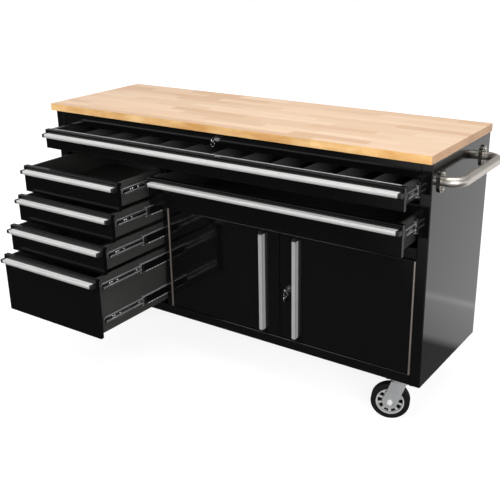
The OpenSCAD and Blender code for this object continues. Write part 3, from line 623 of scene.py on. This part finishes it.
def scatter_parts(name):
    """Geometry Nodes group: one part on each point, turned to the point's facing, with a random spin."""
    inputs = [("Points", "Geometry", None), ("Part", "Object", None), ("Finish", "Material", None)]
    inputs += [("Spin", "Float", 6.283), ("Seed", "Int", 7)]
    group, given, end = node_group(name, inputs, ["Geometry"], "Geometry", "Geometry")
    part = put(group, "GeometryNodeObjectInfo", {"Object": given["Part"]}).outputs["Geometry"]
    facing = put(group, "GeometryNodeInputNamedAttribute", {"Name": "facing"}, data_type="FLOAT_VECTOR")
    turned = put(group, "FunctionNodeAlignRotationToVector", {"Vector": facing}, axis="Z")
    places = {"Points": given["Points"], "Instance": part, "Rotation": turned}
    placed = put(group, "GeometryNodeInstanceOnPoints", places)
    bounds = {"Max": given["Spin"], "Seed": given["Seed"]}
    random = put(group, "FunctionNodeRandomValue", bounds, data_type="FLOAT")
    drawn = next(output for output in random.outputs if output.enabled)
    spin = put(group, "ShaderNodeCombineXYZ", {2: drawn})
    spun_parts = put(group, "GeometryNodeRotateInstances", {"Instances": placed, "Rotation": spin})
    real = put(group, "GeometryNodeRealizeInstances", {0: spun_parts})
    finished = put(group, "GeometryNodeSetMaterial", {"Geometry": real, "Material": given["Finish"]})
    fill(group, end, {"Geometry": finished})
    return group


def scattered(name, part, points, finish_material, body, spin=6.283):
    """One piece made of a part on every point: points are (place in metres, facing)."""
    mesh = bpy.data.meshes.new(name + " points")
    mesh.from_pydata([place for place, facing in points], [], [])
    facings = mesh.attributes.new("facing", "FLOAT_VECTOR", "POINT")
    facings.data.foreach_set("vector", [number for place, facing in points for number in facing])
    source = new_object(name + " points", mesh)
    modifier = source.modifiers.new("scatter", "NODES")
    modifier.node_group = made_once(scatter_parts)
    values = {"Part": part, "Finish": finish_material, "Spin": spin, "Seed": len(points)}
    for item in modifier.node_group.interface.items_tree:
        if item.in_out == "INPUT" and item.name in values:
            modifier[item.identifier] = values[item.name]
    bpy.context.view_layer.update()
    seen = source.evaluated_get(bpy.context.evaluated_depsgraph_get())
    solid = bpy.data.meshes.new_from_object(seen)
    solid.name = name
    bpy.data.objects.remove(source)
    if not solid.polygons:
        raise RuntimeError(name + " came out empty")
    return carried(new_object(name, solid), body)


# ---- Operators ----


class WORKBENCH_OT_stage(bpy.types.Operator):
    """Floor, world, lights and camera"""

    bl_idname = "workbench.stage"
    bl_label = "Stage"

    def execute(self, context):
        levels = settings("stage")
        scene = context.scene
        scene.view_settings.view_transform = "Standard"
        self.camera(scene)
        self.world(scene, levels)
        self.floor(levels)
        self.lamps()
        return {"FINISHED"}

    def camera(self, scene):
        """A camera in front and to the right, a little over the worktop."""
        place = Vector((1.631, -2.3705, 1.5))
        azimuth, elevation, roll = (math.radians(angle) for angle in (-35.14, 21.12, -1.09))
        tilt = math.pi / 2.0 - elevation
        turned = Euler((tilt, 0.0, -azimuth)).to_matrix() @ Euler((0.0, 0.0, roll)).to_matrix()
        lens = bpy.data.cameras.new("camera")
        lens.sensor_width = 36.0
        lens.lens = 59.23
        lens.clip_start = 0.05
        lens.clip_end = 60.0
        camera = new_object("camera", lens)
        camera.matrix_world = Matrix.Translation(place) @ turned.to_4x4()
        scene.camera = camera

    def world(self, scene, levels):
        """White to the camera, even light on the object, and in gloss dimmer overhead and to the left."""
        world = bpy.data.worlds.new("studio")
        tree = cleared_tree(world)
        camera_ray, shiny = ray_kinds(tree)
        way = parts_of(tree, own_place(tree))
        overhead = spread(tree, way[2], 0.05, 0.35, 0.0, 0.65)
        leftward = spread(tree, way[0], -0.35, 0.0, 0.6, 0.0)
        dimmed = times(tree, shiny, calc(tree, "MAXIMUM", overhead, leftward))
        strength = calc(tree, "SUBTRACT", 1.0, dimmed)
        lit = put(tree, "ShaderNodeBackground", {"Color": WHITE, "Strength": levels.world})
        shown = put(tree, "ShaderNodeBackground", {"Color": WHITE, "Strength": strength})
        seen = calc(tree, "MAXIMUM", camera_ray, shiny)
        mixed = put(tree, "ShaderNodeMixShader", {0: seen, 1: lit, 2: shown})
        put(tree, "ShaderNodeOutputWorld", {"Surface": mixed})
        scene.world = world

    def floor(self, levels):
        """White to the camera but for the shadow, pale to the lamps, and a dark studio's floor in gloss."""
        half = 9.0
        corners = [(-half, -half, 0.0), (half, -half, 0.0), (half, half, 0.0), (-half, half, 0.0)]
        mesh = bpy.data.meshes.new("floor")
        mesh.from_pydata(corners, [], [(0, 1, 2, 3)])
        floor = new_object("floor", mesh)
        floor.location = (0.0, 0.0, -0.5 * MM)
        material = bpy.data.materials.new("pale floor")
        tree = cleared_tree(material)
        camera_ray, shiny = ray_kinds(tree)
        place = own_place(tree)
        far = put(tree, "ShaderNodeVectorMath", {0: place}, operation="LENGTH").outputs["Value"]
        white = put(tree, "ShaderNodeEmission", {"Strength": spread(tree, far, 1.1, 2.2, 0.86, 1.0)})
        matt = put(tree, "ShaderNodeBsdfDiffuse", {"Color": (0.8, 0.8, 0.8, 1.0)})
        dim = put(tree, "ShaderNodeBsdfDiffuse", {"Color": (0.3, 0.3, 0.3, 1.0)})
        mirrored = put(tree, "ShaderNodeEmission", {"Strength": self.mirrored_floor(tree, place, levels)})
        shown = put(tree, "ShaderNodeAddShader", {0: dim, 1: white})
        first = put(tree, "ShaderNodeMixShader", {0: camera_ray, 1: matt, 2: shown})
        second = put(tree, "ShaderNodeMixShader", {0: shiny, 1: first, 2: mirrored})
        put(tree, "ShaderNodeOutputMaterial", {"Surface": second})
        mesh.materials.append(material)

    def mirrored_floor(self, tree, place, levels):
        """How bright the floor is in glossy faces: each part is a span along the floor and its levels."""
        x, y = parts_of(tree, place)[:2]
        under = spread(tree, y, -0.34, -0.26, 0.0, 0.09)
        rightward = spread(tree, x, -0.7, 0.9)
        behind = spread(tree, y, 0.35, 0.42, 0.0, 0.72)
        rising = spread(tree, y, 0.42, 0.76, 0.0, 0.3)
        beyond = spread(tree, y, 0.77, 0.8, 0.0, 0.06)
        level = calc(tree, "ADD", behind, calc(tree, "SUBTRACT", rising, beyond))
        streak_y, streak_width, streak_level = 0.775, 0.03, 0.3
        off = calc(tree, "DIVIDE", calc(tree, "SUBTRACT", y, streak_y), streak_width)
        streak = calc(tree, "EXPONENT", times(tree, times(tree, off, off), -1.0))
        glow = calc(tree, "MULTIPLY_ADD", level, levels.side_glow, under)
        glow = calc(tree, "MULTIPLY_ADD", streak, streak_level, glow)
        glow = calc(tree, "MULTIPLY_ADD", glow, rightward, levels.floor_glow)
        slant = calc(tree, "MULTIPLY_ADD", y, -0.7, x)
        aside = spread(tree, slant, 1.15, 1.8, 0.0, 0.55)
        in_front = spread(tree, y, -1.0, -0.6, 1.0, 0.0)
        return calc(tree, "MULTIPLY_ADD", aside, in_front, glow)

    def lamps(self):
        """Three softboxes aimed at the bench's middle: name, place, width, height and power."""
        aim = Vector((0.0, 0.0, 0.5))
        softboxes = [
            ("overhead softbox", (0.3, -0.4, 3.4), 3.2, 2.2, 60.0),
            ("front softbox", (-2.2, -3.1, 1.7), 2.6, 2.0, 52.0),
            ("right softbox", (2.9, -2.9, 1.4), 1.8, 2.0, 75.0),
        ]
        for name, place, width, height, power in softboxes:
            light = bpy.data.lights.new(name, "AREA")
            light.shape = "RECTANGLE"
            light.size = width
            light.size_y = height
            light.energy = power
            lamp = new_object(name, light)
            lamp.location = place
            lamp.rotation_euler = (aim - Vector(place)).to_track_quat("-Z", "Y").to_euler()


class WORKBENCH_OT_worktop(bpy.types.Operator):
    """Jointed wooden staves on the worktop"""

    bl_idname = "workbench.worktop"
    bl_label = "Worktop"

    def execute(self, context):
        top = NODES["worktop"]
        finish(["worktop"], stave_wood("lacquered staves"))
        top.modifiers.new("close", "WELD").merge_threshold = 0.01 * MM
        rounding = top.modifiers.new("eased edges", "BEVEL")
        rounding.width = settings("sizes").edge_round
        rounding.segments = 3
        rounding.limit_method = "ANGLE"
        return {"FINISHED"}


class WORKBENCH_OT_enamel(bpy.types.Operator):
    """Gloss enamel on the folded steel, satin inside the drawers"""

    bl_idname = "workbench.enamel"
    bl_label = "Enamel"

    def execute(self, context):
        colours = settings("colours")
        panels = ["side_panel_left", "side_panel_right", "back_panel", "base_pan", "frame_rails", "mullion"]
        panels += ["partition", "slide_brackets", "shelf", *DOORS]
        finish(panels, gloss_enamel("gloss enamel", 0.08, 0.5))
        drawers = [drawer + "_drawer" for drawer in DRAWERS]
        finish(drawers, gloss_enamel("front enamel", 0.1, 0.2))
        satin = sprayed("satin coat", colours.satin, 0.3, 0.06, 420.0, 0.00002)
        front_depth = 21 * MM
        for name in drawers:
            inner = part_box(name)[0][1] + front_depth
            second_finish(name, satin, lambda middle: middle[1] > inner)
        finish(["tray_dividers"], sprayed("divider coat", colours.divider, 0.3, 0.06, 420.0, 0.00002))
        return {"FINISHED"}


class WORKBENCH_OT_metals(bpy.types.Operator):
    """Bars, slides, hinges, locks, handle, castors and wheels"""

    bl_idname = "workbench.metals"
    bl_label = "Metals"

    def execute(self, context):
        colours = settings("colours")
        self.bars(colours)
        # Painted shade: the slides' faces square to X, their webs, are darkened almost to black.
        zinc = lined_metal("bright zinc", colours.zinc, LINES_Y, 0.7, 0.28, square=(0, 0.015))
        finish(["slide_channels", *nodes_ending("_runners", "_carriers")], zinc)
        nickel = lined_metal("plated hinge", colours.hinge, LINES_Z, 0.75, 0.3)
        finish(["hinge_frame_leaves", *nodes_ending("_leaf")], nickel)
        chrome = lined_metal("polished lock", colours.chrome, SOFT_MARKS, 1.0, 0.08, 0.05, 0.000005)
        finish(["top_lock", "door_lock", "top_key", "door_key"], chrome)
        self.handle(colours)
        self.castors(colours)
        return {"FINISHED"}

    def bars(self, colours):
        """Pull bars, each drawer's painted darker towards its foot as painted shade and painted lighter on
        its faces facing up and down as painted light, with plastic end caps and their tongues.
        """
        face_round = 4 * MM
        for drawer in DRAWERS:
            low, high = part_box(drawer + "_pull")
            # Painted light on the faces square to Z, and painted shade darkening each bar towards its foot.
            look = {"square": (2, 1.35), "painted_shade_below": (low[2], high[2] - face_round, 0.42)}
            bar = lined_metal(drawer + " bar", colours.aluminium, LINES_X, 0.3, 0.4, **look)
            finish([drawer + "_pull"], bar)
        # Painted light: the door bars' faces square to X are made lighter.
        bar = lined_metal("door bar", colours.door_bar, LINES_Z, 0.3, 0.4, square=(0, 1.35))
        finish([door + "_pull" for door in DOORS], bar)
        plastic = sprayed("cap plastic", colours.plastic, 0.4, 0.05, 600.0, 0.00002)
        for name in nodes_ending("_pull"):
            second_finish(name, plastic, self.on_caps(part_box(name)))

    def on_caps(self, corners):
        """A test for faces of a bar's caps and their tongues. The bar's own ends lie at cap_length."""
        cap_length = 12 * MM
        tongue_end = 22.5 * MM
        gap = 0.05 * MM
        long = max(range(3), key=lambda axis: corners[1][axis] - corners[0][axis])

        def chosen(middle):
            depth = min(abs(middle[long] - corner[long]) for corner in corners)
            return depth < tongue_end and abs(depth - cap_length) > gap

        return chosen

    def handle(self, colours):
        """Brushed tube with darker flanges against the side panel: the flanges' dark colour is a painted
        dark reflection.
        """
        finish(["side_handle"], lined_metal("brushed tube", colours.stainless, LINES_Y, 1.0, 0.38, 0.2))
        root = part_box("side_handle")[0][0] + 7 * MM
        # Painted reflection: the flanges get a dark colour for the dark they mirror.
        flange = lined_metal("handle flange with painted dark reflection", colours.flange, SOFT_MARKS, 1.0, 0.2)
        second_finish("side_handle", flange, lambda middle: middle[0] < root)

    def castors(self, colours):
        """Plated forks with bright axle bolts, and wheels with dark pockets in their hubs: the pockets' dark
        colour is painted shade.
        """
        forks = ["rigid_forks", "front_fork", "rear_fork"]
        hubs = nodes_ending("_hub")
        finish(["castor_plates", *forks], lined_metal("castor zinc", colours.zinc, CAST_MARKS, 0.75, 0.38))
        finish(hubs, sprayed("moulded hub", colours.hub, 0.45, 0.08, 500.0, 0.00004))
        finish(nodes_ending("_tyre"), sprayed("rubber tread", colours.tyre, 0.62, 0.08, 700.0, 0.0001, 0.15))
        # Painted shade: the hub pockets are near black, and dark edges are laid round their mouths.
        pockets = sprayed("hub pockets with painted shade", colours.pocket, 0.6, 0.05, 500.0, 0.00004, 0.1)
        bolt = lined_metal("axle bolt", colours.bolt, FINE_MARKS, 0.3, 0.3)
        pocket_reach = 5 * MM
        bolt_radius, bolt_height = 11 * MM, 5.5 * MM
        leg_reach = 60 * MM
        axles = {hub: self.wheel_axle(hub) for hub in hubs}
        for hub, (middle, axle) in axles.items():
            second_finish(hub, pockets, self.near_axle(middle, axle, POCKET_RADII, (0.0, pocket_reach)))
            self.pocket_edges(hub, middle, axle, pockets)
        for fork in forks:
            for middle, axle in axles.values():
                off = vertex_places(NODES[fork].data) - middle
                along = off @ axle
                close = np.linalg.norm(off - np.outer(along, axle), axis=1) < bolt_radius
                reach = abs(along[close]).max(initial=0.0)
                if 0.0 < reach < leg_reach:
                    heads = self.near_axle(middle, axle, (0.0, bolt_radius), (reach - bolt_height, 1.0))
                    second_finish(fork, bolt, heads)

    def wheel_axle(self, hub):
        """Middle of a hub and its flattest direction."""
        places = vertex_places(NODES[hub].data)
        middle = (places.min(axis=0) + places.max(axis=0)) / 2.0
        return middle, np.linalg.eigh(np.cov(places.T))[1][:, 0]

    def near_axle(self, middle, axle, radii, reaches):
        """A test for faces between two radii from an axle and two distances along it."""

        def chosen(face_middle):
            off = np.array(face_middle) - middle
            along = off @ axle
            away = np.linalg.norm(off - along * axle)
            return radii[0] <= away <= radii[1] and reaches[0] <= abs(along) <= reaches[1]

        return chosen

    def pocket_edges(self, hub, middle, axle, material):
        """Thin dark edges round the mouths of a hub's pockets, ten on each side: painted shade that makes
        the pockets look larger.
        """
        mouth_reach = 6 * MM
        mouth_play = 0.2 * MM
        edge_width = 1.2 * MM
        lifts = (0.02 * MM, 0.15 * MM)
        level = np.cross(axle, UP)
        level /= np.linalg.norm(level)
        upright = np.cross(axle, level)
        off = vertex_places(NODES[hub].data) - middle
        away = np.hypot(off @ level, off @ upright)
        mouth = abs(abs(off @ axle) - mouth_reach) < mouth_play
        mouth &= (away > POCKET_RADII[0]) & (away < POCKET_RADII[1] + 0.5 * MM)
        pitch = math.radians(36.0)
        turn = np.arctan2(off @ upright, off @ level)[mouth]
        turn -= pitch * np.round(turn / pitch)
        out = away[mouth] * np.cos(turn)
        across = abs(away[mouth] * np.sin(turn))
        near = out < (out.min() + out.max()) / 2.0
        near_half, far_half = across[near].max(), across[~near].max()
        shape = bmesh.new()
        for number in range(20):
            side = 1.0 if number % 2 else -1.0
            angle = pitch * (number // 2)
            spoke = level * math.cos(angle) + upright * math.sin(angle)
            cross = upright * math.cos(angle) - level * math.sin(angle)
            loops = []
            for grown, lift in ((0.0, 0), (edge_width, 0), (edge_width, 1), (0.0, 1)):
                root = middle + side * (mouth_reach + lifts[lift]) * axle
                ends = ((out.min() - grown, near_half + grown), (out.max() + grown, far_half + grown))
                corners = [(a, b * s) for s, pair in ((-1, ends), (1, ends[::-1])) for a, b in pair]
                loops.append([shape.verts.new(root + spoke * a + cross * b) for a, b in corners])
            joined(shape, loops, wrap=True)
        edges = finished_part(shape, hub.replace("_hub", "_pocket_edges"), False)
        edges.data.materials.append(material)
        carried(edges, hub.replace("_hub", "_wheel"))


class WORKBENCH_OT_fasteners(bpy.types.Operator):
    """Screws, balls, rims and windows of the slides, the tray's bead, castor bolts and panel screws"""

    bl_idname = "workbench.fasteners"
    bl_label = "Fasteners"

    def execute(self, context):
        colours = settings("colours")
        sizes = settings("sizes")
        bright = lined_metal("bright screw", colours.nickel, FINE_MARKS, 1.0, 0.2)
        self.slide_parts(sizes, bright, lined_metal("ball windows", colours.bolt, FINE_MARKS, 0.3, 0.3))
        # Painted highlight: a pale bead along the tray's lip.
        self.tray_bead(sizes, lined_metal("edge trim", colours.trim, LINES_X, 0.6, 0.42))
        bolt = hex_bolt(sizes.castor_bolt)
        scattered("castor_bolts", bolt, self.castor_bolts(), bright, "cabinet")
        screw = pan_screw(sizes.panel_screw)
        black = sprayed("blacked screw", colours.plastic, 0.35, 0.05, 600.0, 0.00001)
        scattered("back_screws", screw, self.back_screws(), black, "cabinet")
        scattered("handle_screws", screw, self.handle_screws(), bright, "cabinet")
        bpy.data.objects.remove(bolt)
        bpy.data.objects.remove(screw)
        self.corner_tabs()
        return {"FINISHED"}

    def slide_parts(self, sizes, bright, shining):
        """What is on each drawer's runners, and on its carriers."""
        screw = pan_screw(sizes.slide_screw)
        ball = slide_ball(sizes.ball)
        runner_rim = pressed_rim(17 * MM, 14 * MM)
        carrier_rim = pressed_rim(32 * MM, 12 * MM)
        window = ball_window(sizes.window_height, sizes.window_width)
        screw_inset, rim_step = 8.4 * MM, 8 * MM
        window_inset, window_lift = 0.2 * MM, -15.6 * MM
        screw_steps = [step * MM for step in (50, 60, 88, 188, 206, 224, 352)]
        window_steps = [(30 + 15 * number) * MM for number in range(20)]
        for drawer in DRAWERS:
            runners, carriers = drawer + "_runners", drawer + "_carriers"
            points = self.slide_places(runners, screw_inset, screw_steps)
            scattered(drawer + "_slide_screws", screw, points, bright, drawer + "_drawer")
            points = self.slide_balls(carriers)
            scattered(drawer + "_slide_balls", ball, points, bright, carriers)
        for ending, body, rim, inset in (
            ("_runners", "_drawer", runner_rim, 8.6 * MM),
            ("_carriers", "_carriers", carrier_rim, 0.6 * MM),
        ):
            for name in (drawer + ending for drawer in DRAWERS):
                points = self.slide_places(name, inset, [rim_step])
                ridden = name.removesuffix(ending) + body
                scattered(name + "_rims", rim, points, bright, ridden, 0.0)
        for drawer in DRAWERS:
            carriers = drawer + "_carriers"
            points = self.slide_places(carriers, window_inset, window_steps, window_lift)
            scattered(drawer + "_ball_windows", window, points, shining, carriers, 0.0)
        for part in (screw, ball, runner_rim, carrier_rim, window):
            bpy.data.objects.remove(part)

    def slide_rows(self, name):
        """Heights of the slides' centre lines in a node, from its box."""
        low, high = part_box(name)
        half = (12.1 if name.endswith("_runners") else 19.4) * MM
        return [low[2] + half] if high[2] - low[2] < 3 * half else [low[2] + half, high[2] - half]

    def slide_places(self, name, inset, steps, lift=0.0):
        """Places this far in from both ends of a node's box, at these steps from its front."""
        low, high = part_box(name)
        points = []
        for height in self.slide_rows(name):
            for y in (low[1] + step for step in steps):
                points.append(((high[0] - inset, y, height + lift), RIGHTWARD))
                points.append(((low[0] + inset, y, height + lift), LEFTWARD))
        return points

    def slide_balls(self, name):
        """Two rows of balls on each carrier, where the cabinet's channel leaves them in view."""
        low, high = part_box(name)
        inset = 4.6 * MM
        pitch = 5.2 * MM
        row_lift = 19.3 * MM
        first = max(low[1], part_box("slide_channels")[0][1]) + 12 * MM
        last = high[1] - 30 * MM
        return [
            ((side, first + pitch * step, height + row), UP)
            for height in self.slide_rows(name)
            for side in (low[0] + inset, high[0] - inset)
            for row in (-row_lift, row_lift)
            for step in range(int((last - first) / pitch))
        ]

    def tray_bead(self, sizes, trim):
        """A pale bead on the tray's rim, behind its front: its pale colour is a painted highlight along the
        lip's fold, and its round catches the lamps too.
        """
        low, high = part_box("tray_drawer")
        inset = 18 * MM
        start = (low[0] + inset, low[1] + sizes.bead_back, high[2])
        bead = edge_bead("tray_edge_bead", start, high[0] - low[0] - 2.0 * inset, sizes.bead)
        bead.data.materials.append(trim)
        carried(bead, "tray_drawer")

    def castor_bolts(self):
        """Four bolts through each castor's plate."""
        plate_length = 104 * MM
        plate_width = 80 * MM
        plate_thick = 3 * MM
        inset = 12 * MM
        points = []
        for name in ("castor_plates", "rigid_forks"):
            low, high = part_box(name)
            width = plate_width - inset
            for y in (low[1] + inset, low[1] + width, high[1] - width, high[1] - inset):
                from_left = y > 0.0 or name == "rigid_forks"
                start = low[0] if from_left else high[0] - plate_length
                for x in (start + inset, start + plate_length - inset):
                    points.append(((x, y, high[2] - plate_thick), DOWN))
        return points

    def back_screws(self):
        """Screws in the corner tabs, up both ends of the back panel, and along its foot and head."""
        low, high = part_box("back_panel")
        fold = 1.2 * MM
        tab_inset, tab_drop = 25 * MM, 18 * MM
        side_inset, side_first, side_pitch = 5 * MM, 26 * MM, 107 * MM
        edge_inset, edge_first, edge_pitch = 12 * MM, 82 * MM, 170 * MM
        points = []
        for x in (low[0] + tab_inset, high[0] - tab_inset):
            points.append(((x, high[1], low[2] - tab_drop), BACKWARD))
        for x in (low[0] + side_inset, high[0] - side_inset):
            for step in range(7):
                points.append(((x, high[1] + fold, low[2] + side_first + side_pitch * step), BACKWARD))
        for step in range(9):
            for height in (low[2] + edge_inset, high[2] - edge_inset):
                points.append(((low[0] + edge_first + edge_pitch * step, high[1], height), BACKWARD))
        return points

    def handle_screws(self):
        """Two screws in each flange of the side handle."""
        low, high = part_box("side_handle")
        middle = (low[2] + high[2]) / 2.0
        face = low[0] + 9 * MM
        flange = 22 * MM
        reach = 24 * MM
        return [
            ((face, y, middle + lift), RIGHTWARD)
            for y in (low[1] + flange, high[1] - flange)
            for lift in (-reach, reach)
        ]

    def corner_tabs(self):
        """Tabs that close the back corners between the base pan's skirt and the side panels' folds."""
        low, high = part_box("back_panel")
        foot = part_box("base_pan")[0][2]
        width = 35 * MM
        inset = width / 2.0 + 0.2 * MM
        play = 0.02 * MM
        tab = corner_tab(width, low[2] - foot - 0.6 * MM, high[1] - low[1] - 3 * play)
        middle = (low[2] + foot) / 2.0
        places = [((x, low[1] + play, middle), BACKWARD) for x in (low[0] + inset, high[0] - inset)]
        enamel = gloss_enamel("tab enamel", 0.08, 0.5)
        scattered("corner_tabs", tab, places, enamel, "cabinet", 0.0)
        bpy.data.objects.remove(tab)


# ---- Panel, registration and run ----

GROUPS = {"colours": WorkbenchColours, "sizes": WorkbenchSizes, "stage": WorkbenchStage}
OPERATORS = [
    WORKBENCH_OT_stage,
    WORKBENCH_OT_worktop,
    WORKBENCH_OT_enamel,
    WORKBENCH_OT_metals,
    WORKBENCH_OT_fasteners,
]


class WORKBENCH_PT_panel(bpy.types.Panel):
    """Steps and settings of the workbench"""

    bl_label = "Workbench"
    bl_idname = "WORKBENCH_PT_panel"
    bl_space_type = "VIEW_3D"
    bl_region_type = "UI"
    bl_category = "Workbench"

    def draw(self, context):
        for step in OPERATORS:
            self.layout.operator(step.bl_idname)
        for kind in GROUPS:
            box = self.layout.box()
            group = settings(kind)
            for key in group.bl_rna.properties.keys():
                if key not in ("rna_type", "name"):
                    box.prop(group, key)


def register():
    for kind, group in GROUPS.items():
        bpy.utils.register_class(group)
        setattr(bpy.types.Scene, "workbench_" + kind, bpy.props.PointerProperty(type=group))
    for step in [*OPERATORS, WORKBENCH_PT_panel]:
        bpy.utils.register_class(step)


def unregister():
    for step in [WORKBENCH_PT_panel, *reversed(OPERATORS)]:
        bpy.utils.unregister_class(step)
    for kind, group in GROUPS.items():
        delattr(bpy.types.Scene, "workbench_" + kind)
        bpy.utils.unregister_class(group)


def main():
    register()
    for step in OPERATORS:
        section, name = step.bl_idname.split(".")
        getattr(getattr(bpy.ops, section), name)()


if __name__ == "__main__":
    main()
